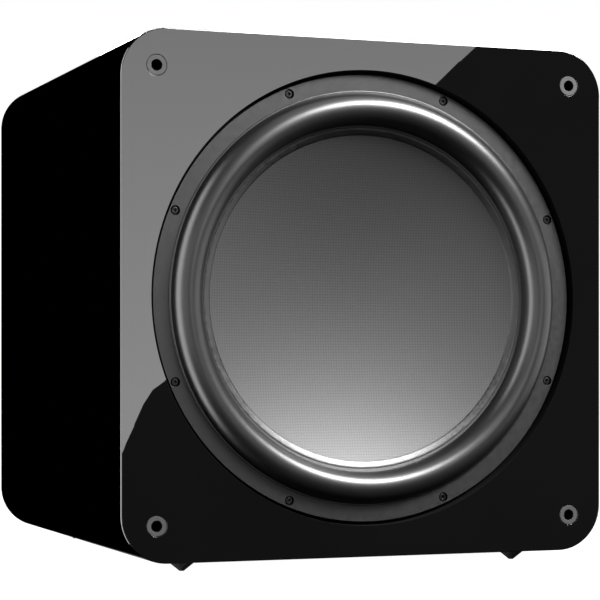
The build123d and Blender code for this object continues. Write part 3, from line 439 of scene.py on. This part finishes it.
def woven_cloth():
    """Plain weave of flat tows, each under and over the next, with the fibres running along them."""
    s = Surface("woven_fibre", Metallic=0.9)
    split = s.nodes.new("ShaderNodeSeparateXYZ")
    s.links.new(s.place, split.inputs[0])
    warp = s.maths("MULTIPLY", split.outputs["X"], 1 / WEAVE_PITCH)
    weft = s.maths("MULTIPLY", split.outputs["Z"], 1 / WEAVE_PITCH)
    cell = s.maths("ADD", s.maths("FLOOR", warp), s.maths("FLOOR", weft))
    odd = s.maths("PINGPONG", cell, 1.0)

    def rise(count):
        """From nothing at a tow's edges to one at its middle."""
        from_middle = s.maths("SUBTRACT", s.maths("FRACT", count), 0.5)
        return s.maths("COSINE", s.maths("MULTIPLY", from_middle, math.pi))

    def tow_height(width_wise, length_wise):
        """A flat-topped tow that dips where it goes under the next."""
        crest = s.maths("POWER", width_wise, TOW_FLATNESS)
        return s.maths("MULTIPLY", crest, s.maths("ADD", 0.5, s.maths("MULTIPLY", length_wise, 0.5)))

    across = rise(warp)
    along = rise(weft)
    upright = tow_height(across, along)
    lying = tow_height(along, across)
    top = s.nodes.new("ShaderNodeMix")
    s.links.new(odd, top.inputs["Factor"])
    s.links.new(upright, top.inputs["A"])
    s.links.new(lying, top.inputs["B"])
    tow = top.outputs["Result"]
    fibres = s.nodes.new("ShaderNodeMix")
    s.links.new(odd, fibres.inputs["Factor"])
    s.links.new(s.noise(2400.0, where=s.stretched(1.0, 1.0, 0.06)), fibres.inputs["A"])
    s.links.new(s.noise(2400.0, where=s.stretched(0.06, 1.0, 1.0)), fibres.inputs["B"])
    # The colour follows the tows' height: darker where each tow dips under the next, which is painted shade,
    # and streaked by the real run of the fibres.
    shade = s.maths("ADD", s.maths("MULTIPLY", tow, 0.75), s.maths("MULTIPLY", fibres.outputs["Result"], 0.25))
    s.colour(shade, grey(0.034), grey(0.055), 0.15, 0.85)
    s.rough(fibres.outputs["Result"], 0.43, 0.48)
    s.bump(tow, 0.00004, 0.7)
    s.bump(fibres.outputs["Result"], 0.00001)


def spider_cloth():
    s = Surface("spider_cloth", 0.8, Sheen_Weight=0.2)
    s.colour(s.noise(900.0, 5.0), (0.30, 0.17, 0.05), (0.45, 0.28, 0.10))
    s.bump(s.cells(1400.0), 0.0001)


def wound_copper():
    """Round wire wound side by side along the former."""
    s = Surface("copper", 0.3, Metallic=1.0)
    split = s.nodes.new("ShaderNodeSeparateXYZ")
    s.links.new(s.place, split.inputs[0])
    turns = s.maths("COSINE", s.maths("MULTIPLY", split.outputs["Y"], 2 * math.pi / 0.0006))
    # The colour follows the same turns as the relief: darker in the grooves between turns and lighter on their
    # crests, which is painted shade and painted highlight.
    s.colour(turns, (0.35, 0.12, 0.05), (0.75, 0.32, 0.16), 0.0, 1.0)
    s.bump(turns, 0.0001)


def circuit_board():
    s = Surface("circuit_board", 0.35, Coat_Weight=0.3)
    s.colour(s.cells(160.0), (0.01, 0.10, 0.04), (0.02, 0.16, 0.07), 0.1, 0.4)
    s.bump(s.cells(160.0), 0.00003)


def make_materials():
    lacquer()
    painted("back_paint", 0.010, 0.42, 1500.0, 0.00003)
    painted("basket_coat", 0.006, 0.42, 2200.0, 0.000006, shine=0.34)
    painted("tray_steel", 0.35, 0.45, 700.0, 0.00002)
    fibre_board()
    felted()
    moulded("socket_rubber", grey(0.036), 0.6, shine=0.2)
    rubber("foot_rubber", 0.006, 0.7)
    rubber("surround_rubber", 0.004, 0.34, 0.01)
    rubber("cable_sheath", 0.02, 0.5)
    rubber("seal_foam", 0.03, 0.9)
    metal("zinc_steel", (0.62, 0.61, 0.58), 0.35)
    metal("black_steel", (0.022, 0.022, 0.023), 0.40)
    metal("motor_steel", (0.45, 0.45, 0.46), 0.4)
    metal("plain_aluminium", (0.80, 0.80, 0.82), 0.35)
    metal("brass_post", (0.72, 0.52, 0.22), 0.3)
    metal("tinned_blade", (0.70, 0.70, 0.68), 0.28)
    metal("gold_plate", (0.92, 0.66, 0.26), 0.2)
    metal("tinsel", (0.75, 0.60, 0.45), 0.35, 4000.0, 0.0001)
    brushed("black_anodised", (0.035, 0.035, 0.037), 0.42, 0.6)
    moulded("ferrite", grey(0.04), 0.7, 1200.0, 0.00006)
    moulded("black_plastic", grey(0.014), 0.45)
    moulded("cone_fibre", grey(0.03), 0.8, 900.0, 0.00008)
    moulded("can_sleeve", (0.01, 0.012, 0.05), 0.3)
    moulded("transformer_tape", (0.45, 0.30, 0.04), 0.4, 300.0, 0.0002)
    moulded("washer_plastic", (0.75, 0.75, 0.73), 0.4)
    moulded("washer_red", (0.55, 0.02, 0.02), 0.4)
    moulded("marking_ink", (0.62, 0.62, 0.62), 0.6)
    moulded("lens_plastic", (0.10, 0.35, 0.75), 0.15)
    metal("ring_coat", grey(0.055), 0.36, 1800.0, 0.000003)
    # Near black with almost no shine, for the rebate round the driver and the bores of the sockets and their
    # holes: painted shade in those recesses, over the rebate's real matt paint.
    painted("recess_shade_black", 0.0015, 0.9, 900.0, 0.00002, shine=0.05)
    woven_cloth()
    spider_cloth()
    wound_copper()
    circuit_board()


# ---------------------------------------------------------------- building meshes


def arc(centre, radius, start, end, steps):
    """Points along an arc, from one angle to another in degrees."""
    angles = [math.radians(start + (end - start) * k / steps) for k in range(steps + 1)]
    return [(centre[0] + radius * math.cos(a), centre[1] + radius * math.sin(a)) for a in angles]


def circle(radius, steps, x=0.0, z=0.0):
    turn = 2 * math.pi / steps
    return [(x + radius * math.cos(turn * k), z + radius * math.sin(turn * k)) for k in range(steps)]


def rounded_rectangle(width, height, radius, steps=12):
    """Points round a rectangle with round corners."""
    points = []
    for quarter, (sx, sz) in enumerate(((1, 1), (-1, 1), (-1, -1), (1, -1))):
        centre = (sx * (width / 2 - radius), sz * (height / 2 - radius))
        points += arc(centre, radius, 90 * quarter, 90 * quarter + 90, steps)
    return points


def add_loop(bm, points, y):
    """A closed loop of vertices facing along Y, from points across and up from the face's centre."""
    return [bm.verts.new((x, y, MIDDLE + z)) for x, z in points]


def bridge(bm, loops):
    """Bands of faces between each loop and the next."""
    faces = []
    for near, far in zip(loops, loops[1:]):
        for k, vert in enumerate(near):
            n = (k + 1) % len(near)
            faces.append(bm.faces.new((vert, near[n], far[n], far[k])))
    return faces


def fill_flat(bm, *loops):
    """Fills the flat region inside the first loop and outside the others."""
    edges = []
    for loop in loops:
        for a, b in zip(loop, loop[1:] + loop[:1]):
            edges.append(bm.edges.get((a, b)) or bm.edges.new((a, b)))
    bmesh.ops.triangle_fill(bm, use_beauty=True, use_dissolve=False, edges=edges)


def finished(bm, name, material, body, sharp=32.0):
    """Turns the mesh into a piece that rides on a body, smooth apart from its real edges."""
    bmesh.ops.remove_doubles(bm, verts=bm.verts, dist=1e-6)
    bmesh.ops.recalc_face_normals(bm, faces=bm.faces)
    mesh = bpy.data.meshes.new(name)
    bm.to_mesh(mesh)
    bm.free()
    mesh.shade_smooth()
    mesh.set_sharp_from_angle(angle=math.radians(sharp))
    piece = bpy.data.objects.new(name, mesh)
    bpy.context.scene.collection.objects.link(piece)
    mesh.materials.append(materials[material])
    weighted = piece.modifiers.new("even_shading", "WEIGHTED_NORMAL")
    weighted.keep_sharp = True
    if body:
        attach(piece, body)
    return piece


def lathe(name, outline, material, body, steps=256, sharp=32.0, closed=True):
    """Turns an outline of (radius, depth) points about the driver's axis."""
    bm = bmesh.new()
    rows = []
    for radius, depth in outline:
        rows.append(add_loop(bm, circle(radius, steps), FRONT + depth))
    bridge(bm, rows + rows[:1] if closed else rows)
    bmesh.ops.dissolve_degenerate(bm, edges=bm.edges, dist=1e-7)
    return finished(bm, name, material, body, sharp)


def bevelled(node, body, material, width, segments=2, angle=35.0, name=None):
    """The node's own shape with its machined or moulded edges broken, as a real part's are."""
    source = frame["nodes"][node]
    bm = bmesh.new()
    bm.from_mesh(source.data)
    bmesh.ops.remove_doubles(bm, verts=bm.verts, dist=1e-6)
    bmesh.ops.dissolve_limit(bm, angle_limit=math.radians(0.5), verts=bm.verts, edges=bm.edges)
    piece = finished(bm, name or f"{node}_finished", material, body, angle)
    bevel = piece.modifiers.new("broken_edges", "BEVEL")
    bevel.width = width
    bevel.segments = segments
    bevel.limit_method = "ANGLE"
    bevel.angle_limit = math.radians(angle)
    bevel.use_clamp_overlap = True
    piece.modifiers.move(1, 0)
    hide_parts(node)
    return piece


# ---------------------------------------------------------------- cabinet

EDGE_ROUND = 1.2 * MM
REBATE = FLANGE + 3.5 * MM
REBATE_ROUND = 0.4 * MM
REBATE_DEPTH = 17.0 * MM
CUTOUT = 203.0 * MM
SOCKET_RADIUS = 10.2 * MM
SOCKET_BORE = 5.45 * MM
SOCKET_OFFSET = SOCKET - SOCKET_RADIUS
OPENING_CORNER = 20.0 * MM
AMP_OPENING_WIDTH = 300.0 * MM
AMP_OPENING_HEIGHT = 360.0 * MM
PLATE_CORNER = 10.0 * MM
JOINT_GAP = 0.25 * MM
CIRCLE_STEPS = 256
ROUND_STEPS = 6


def corner_places(x, z):
    return [(sx * x, sz * z) for sx in (-1, 1) for sz in (-1, 1)]


def rounded_edge(bm, shape, depth, inward, size):
    """Loops of a rounded edge. shape(inset) gives the outline, and inward is +1 where depth grows."""
    loops = []
    for k in range(ROUND_STEPS + 1):
        a = math.radians(90 * k / ROUND_STEPS)
        points = shape(size * (1 - math.sin(a)))
        loops.append(add_loop(bm, points, depth + inward * size * (1 - math.cos(a))))
    return loops


def outline_at(inset):
    return rounded_rectangle(WIDTH - 2 * inset, HEIGHT - 2 * inset, CORNER - inset, 24)


def cabinet_skin():
    """The lacquered box in one skin: baffle, four sides with round corners, and the rim round its back."""
    bm = bmesh.new()
    front = rounded_edge(bm, outline_at, FRONT, 1, EDGE_ROUND)
    back = rounded_edge(bm, outline_at, REAR, -1, EDGE_ROUND)
    bridge(bm, front + back[::-1])
    opening_width = WIDTH - 2 * BOARD
    opening_height = HEIGHT - 2 * BOARD
    lining = []
    for grow, depth in ((0.5 * MM, REAR), (0, REAR - 0.5 * MM), (0, FRONT + BOARD)):
        width, height = opening_width + 2 * grow, opening_height + 2 * grow
        lining.append(add_loop(bm, rounded_rectangle(width, height, OPENING_CORNER + grow, 24), depth))
    bridge(bm, [back[0]] + lining)

    def rebate_at(inset):
        return circle(REBATE + inset, CIRCLE_STEPS)

    rebate = rounded_edge(bm, rebate_at, FRONT, 1, REBATE_ROUND)
    walls = [rebate[-1]]
    walls.append(add_loop(bm, circle(REBATE, CIRCLE_STEPS), FRONT + REBATE_DEPTH))
    walls.append(add_loop(bm, circle(CUTOUT, CIRCLE_STEPS), FRONT + REBATE_DEPTH))
    walls.append(add_loop(bm, circle(CUTOUT, CIRCLE_STEPS), FRONT + BOARD))
    # The rebate's round edge and walls get the near-black second finish: painted shade in the recess, on real
    # matt paint.
    for face in bridge(bm, rebate) + bridge(bm, walls):
        face.material_index = 1
    mouths = []
    for x, z in corner_places(SOCKET_OFFSET, SOCKET_OFFSET):

        def hole_at(inset):
            return circle(SOCKET_RADIUS + inset, 64, x, z)

        hole = rounded_edge(bm, hole_at, FRONT, 1, 0.15 * MM)
        hole.append(add_loop(bm, hole_at(0), FRONT + BOARD - 1.0 * MM))
        # The deep part of each socket hole gets the near-black second finish: painted shade.
        for face in bridge(bm, hole[-2:]):
            face.material_index = 1
        bridge(bm, hole[:-1])
        fill_flat(bm, hole[-1])
        mouths.append(hole[0])
    fill_flat(bm, front[0], rebate[0], *mouths)
    fill_flat(bm, lining[-1], walls[-1])
    skin = finished(bm, "cabinet_skin", "gloss_lacquer", "cabinet")
    skin.data.materials.append(materials["recess_shade_black"])
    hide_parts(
        "outer_baffle", "left_panel", "right_panel", "top_panel", "bottom_panel", "corner_posts"
    )


def rear_board():
    """Satin black board let into the back, with a fine joint all round and the amplifier's rebate."""
    bm = bmesh.new()
    plate_width = PLATE_HIGH.x - PLATE_LOW.x + 2 * JOINT_GAP
    plate_height = PLATE_HIGH.z - PLATE_LOW.z + 2 * JOINT_GAP
    plate_thickness = REAR - PLATE_LOW.y

    def edge_at(inset):
        gap = inset + JOINT_GAP
        return rounded_rectangle(
            WIDTH - 2 * BOARD - 2 * gap, HEIGHT - 2 * BOARD - 2 * gap, OPENING_CORNER - gap, 24
        )

    def rebate_at(inset):
        return rounded_rectangle(plate_width + 2 * inset, plate_height + 2 * inset, PLATE_CORNER + inset, 24)

    outside = rounded_edge(bm, edge_at, REAR, -1, 0.5 * MM)
    inside = rounded_edge(bm, rebate_at, REAR, -1, 0.4 * MM)
    inside.append(add_loop(bm, rebate_at(0), REAR - plate_thickness))
    opening = rounded_rectangle(AMP_OPENING_WIDTH, AMP_OPENING_HEIGHT, PLATE_CORNER, 24)
    inside.append(add_loop(bm, opening, REAR - plate_thickness))
    inside.append(add_loop(bm, opening, REAR - BOARD))
    outside.append(add_loop(bm, edge_at(0), REAR - BOARD))
    bridge(bm, outside + inside[::-1])
    bridge(bm, [outside[0], inside[0]])
    board = finished(bm, "rear_board", "back_paint", "cabinet")
    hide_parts("rear_panel")


FOOT_TOP = 16.5 * MM
FOOT_TIP = 3.0 * MM
FOOT_TIP_ROUND = 1.4 * MM
STUD_HOLE = 3.1 * MM
STUD_HOLE_START = 6.1 * MM


def foot_places():
    low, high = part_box("feet")
    return [
        (x, y)
        for x in (low.x + FOOT_TOP, high.x - FOOT_TOP)
        for y in (low.y + FOOT_TOP, high.y - FOOT_TOP)
    ]


def feet():
    """Turned rubber feet: a narrow collar under the cabinet, a straight taper and a rounded tip."""
    tip = FOOT_TIP - 1.2 * MM
    rim = FOOT_TOP - 0.35 * MM
    outline = [(0, 0), (tip, 0)]
    outline += arc((tip, FOOT_TIP_ROUND), FOOT_TIP_ROUND, -90, -32, 6)[1:]
    outline += [(rim - 0.65 * MM, FOOT_HEIGHT - 1.3 * MM), (rim, FOOT_HEIGHT - 0.8 * MM)]
    outline += [(rim, FOOT_HEIGHT - 0.05 * MM), (STUD_HOLE, FOOT_HEIGHT - 0.05 * MM)]
    outline += [(STUD_HOLE, STUD_HOLE_START), (0, STUD_HOLE_START)]
    bm = bmesh.new()
    for x, y in foot_places():
        rows = [[bm.verts.new((x + a, y + b, z)) for a, b in circle(max(r, 1e-5), 72)] for r, z in outline]
        bridge(bm, rows + rows[:1])
    piece = finished(bm, "rubber_feet", "foot_rubber", "cabinet")
    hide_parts("feet")


def make_cabinet():
    cabinet_skin()
    rear_board()
    feet()
    sockets = bevelled("grille_sockets", "cabinet", "socket_rubber", 0.15 * MM)
    sockets.data.materials.append(materials["recess_shade_black"])
    # The sockets' bores get the near-black second finish in place of the grey rubber: painted shade.
    for face in sockets.data.polygons:
        off_axis = (abs(face.center.x) - SOCKET_OFFSET, abs(face.center.z - MIDDLE) - SOCKET_OFFSET)
        if math.hypot(*off_axis) < SOCKET_BORE and face.center.y > FRONT + 0.6 * MM:
            face.material_index = 1


# ---------------------------------------------------------------- driver


LAND = 2.8 * MM


def surround_outline():
    """Section of the rubber surround: raised lip on the flange, half-roll, and the land behind the ring."""
    inner = Vector((RING_OUTER, RING_DEPTH))
    outer = Vector((LIP - 1.6 * MM, FLANGE_DEPTH))
    across = (outer - inner).normalized()
    forward = Vector((across.y, -across.x))
    high = (outer - inner).length / 2
    wide = high - LAND / 2
    middle = (inner + outer) / 2 + across * (LAND / 2)
    wall = 2.0 * MM

    def roll(less, angles):
        points = []
        for a in angles:
            along = across * ((wide - less) * math.cos(a))
            points.append(middle + along + forward * ((high - less) * math.sin(a)))
        return points

    outside = [math.radians(7 + 163 * k / 40) for k in range(41)]
    inside = [math.radians(180 - 180 * k / 40) for k in range(41)]
    lip_top = FLANGE_DEPTH - 1.0 * MM
    lip_round = 0.85 * MM
    outline = [(LIP, FLANGE_DEPTH)]
    outline += arc((LIP - lip_round, lip_top + lip_round), lip_round, 0, -90, 6)
    outline += [(LIP - 1.4 * MM, lip_top), (LIP - 1.75 * MM, lip_top - 0.25 * MM)]
    outline += [tuple(p) for p in roll(0, outside)]
    outline += [(RING_OUTER + LAND * 0.9, RING_DEPTH - 0.75 * MM)]
    outline += [(RING_OUTER + 0.25 * MM, RING_DEPTH - 0.1 * MM), (RING_OUTER, RING_DEPTH + 0.35 * MM)]
    outline += [(RING_OUTER - 0.1 * MM, RING_DEPTH + 1.7 * MM), (DISH, DISH_DEPTH + 1.7 * MM)]
    outline += [(DISH, DISH_DEPTH + 3.6 * MM), (RING_OUTER, RING_DEPTH + 3.7 * MM)]
    outline += [tuple(p) for p in roll(wall, inside)]
    return outline


def follow_cone(piece):
    """Bakes the piece's placement into its mesh, for a piece between the fixed frame and the cone; nothing
    here bends it.
    """
    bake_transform(piece)


def surround():
    piece = lathe("rubber_surround", surround_outline(), "surround_rubber", None)
    follow_cone(piece)
    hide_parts("surround")


def cone_ring():
    """Smooth collar over the edge of the weave, very slightly crowned."""
    inner = Vector((DISH, DISH_DEPTH))
    outer = Vector((RING_OUTER - 0.1 * MM, RING_DEPTH))
    across = outer - inner
    out = Vector((across.y, -across.x)).normalized()
    crown = 0.35 * MM
    front = []
    for k in range(13):
        share = k / 12
        front.append(tuple(inner + across * share + out * (crown * (1 - (2 * share - 1) ** 4))))
    back = [(RING_OUTER - 0.1 * MM, RING_DEPTH + 1.5 * MM), (DISH, DISH_DEPTH + 1.5 * MM)]
    piece = lathe("cone_collar", front + back, "ring_coat", "cone")
    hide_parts("cone_ring")


def woven_dish():
    """Shallow woven dish, part of a sphere, with its rim tucked under the collar."""
    centre_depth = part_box("woven_dish")[1].y - FRONT - 1.5 * MM
    sag = centre_depth - DISH_DEPTH
    sphere = (DISH**2 + sag**2) / (2 * sag)
    rows = 32
    front = []
    for k in range(rows + 1):
        radius = max(DISH * k / rows, 1e-5)
        front.append((radius, centre_depth - sphere + math.sqrt(sphere**2 - radius**2)))
    back = [(radius, depth + 1.4 * MM) for radius, depth in reversed(front)]
    piece = lathe("woven_cone", front + back, "woven_fibre", "cone")
    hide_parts("woven_dish")


def flexing_copy(node, slot):
    """A corrugated disc between the moving former and its fixed ledge, copied from the frame with its finish;
    nothing here flexes it.
    """
    bm = bmesh.new()
    bm.from_mesh(frame["nodes"][node].data)
    piece = finished(bm, f"{node}_cloth", slot, None)
    follow_cone(piece)
    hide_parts(node)


def tinsel():
    """Braided leads that hang between the terminals and the former."""
    bm = bmesh.new()
    bm.from_mesh(frame["nodes"]["tinsel_leads"].data)
    piece = finished(bm, "braided_leads", "tinsel", None)
    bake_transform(piece)
    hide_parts("tinsel_leads")


def make_driver():
    surround()
    cone_ring()
    woven_dish()
    bevelled("driver_basket", "cabinet", "basket_coat", 0.5 * MM)
    bevelled("driver_screws", "cabinet", "black_steel", 0.12 * MM)
    flexing_copy("front_spider", "spider_cloth")
    flexing_copy("rear_spider", "spider_cloth")
    tinsel()


# ---------------------------------------------------------------- amplifier panel


REAR_FINISHES = {
    "amp_plate": ("black_anodised", 0.35),
    "heatsink": ("black_anodised", 0.4),
    "panel_screws": ("black_steel", 0.12),
    "mains_inlet": ("black_plastic", 0.3),
    "mains_blades": ("tinned_blade", 0.25),
    "switch_frame": ("black_plastic", 0.3),
    "phono_shells": ("gold_plate", 0.15),
    "phono_inserts": ("washer_plastic", 0.15),
    "trigger_jack": ("black_plastic", 0.2),
    "status_lens": ("lens_plastic", 0.3),
}
MOVING_FINISHES = {
    "power_rocker": ("rocker", 0.4),
    "volume_knob": ("volume", 0.15),
    "crossover_knob": ("crossover", 0.15),
    "mode_slider": ("slider", 0.1),
    "setup_button": ("button", 0.2),
}


def loose_pieces(bm):
    """The mesh's separate pieces, as lists of vertices, from left to right."""
    waiting, pieces = set(bm.verts), []
    while waiting:
        reached = [waiting.pop()]
        for vert in reached:
            for edge in vert.link_edges:
                other = edge.other_vert(vert)
                if other in waiting:
                    waiting.remove(other)
                    reached.append(other)
        pieces.append(reached)
    return sorted(pieces, key=lambda verts: min(v.co.x for v in verts))


def washers():
    """White washers on one channel of each pair of phono jacks, red on the other."""
    for name, material, first in (("washers_white", "washer_plastic", 0), ("washers_red", "washer_red", 1)):
        bm = bmesh.new()
        bm.from_mesh(frame["nodes"]["phono_washers"].data)
        bmesh.ops.remove_doubles(bm, verts=bm.verts, dist=1e-6)
        others = [vert for verts in loose_pieces(bm)[1 - first :: 2] for vert in verts]
        bmesh.ops.delete(bm, geom=others, context="VERTS")
        piece = finished(bm, name, material, "cabinet")
        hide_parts("phono_washers")


TICK_COUNT = 11


def dial_marks():
    """Short printed ticks round each knob, on the plate."""
    bm = bmesh.new()
    inner, outer, half = 12.6 * MM, 14.8 * MM, 0.28 * MM
    thickness = 0.04 * MM
    for node in ("volume_knob", "crossover_knob"):
        low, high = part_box(node)
        x, z = (low.x + high.x) / 2, (low.z + high.z) / 2
        for k in range(TICK_COUNT):
            a = math.radians(240 - 30 * k)
            along = Vector((math.cos(a), 0, math.sin(a)))
            side = Vector((-math.sin(a), 0, math.cos(a))) * half
            foot = Vector((x, REAR, z))
            ends = ((inner, -1), (outer, -1), (outer, 1), (inner, 1))
            corners = [foot + along * reach + side * turn for reach, turn in ends]
            top = [bm.verts.new(c + Vector((0, thickness, 0))) for c in corners]
            bottom = [bm.verts.new(c - Vector((0, thickness, 0))) for c in corners]
            bridge(bm, [bottom, top])
            bm.faces.new(top)
            bm.faces.new(bottom[::-1])
    finished(bm, "dial_marks", "marking_ink", "cabinet")


def make_amplifier():
    for node, (material, width) in REAR_FINISHES.items():
        bevelled(node, "cabinet", material, width * MM)
    for node, (body, width) in MOVING_FINISHES.items():
        bevelled(node, body, "black_plastic", width * MM)
    washers()
    dial_marks()


# ---------------------------------------------------------------- finishes of the pieces left as they are


def finish_frame():
    """Gives each piece still shown as the frame has it the finish that the record names."""
    for part in frame["record"]["subparts"]:
        for place in frame["nodes"][part["node"]].material_slots:
            place.material = materials[part["material_slot"]]


eye = place_camera()
light_studio(eye)
make_materials()
make_cabinet()
make_driver()
make_amplifier()
finish_frame()
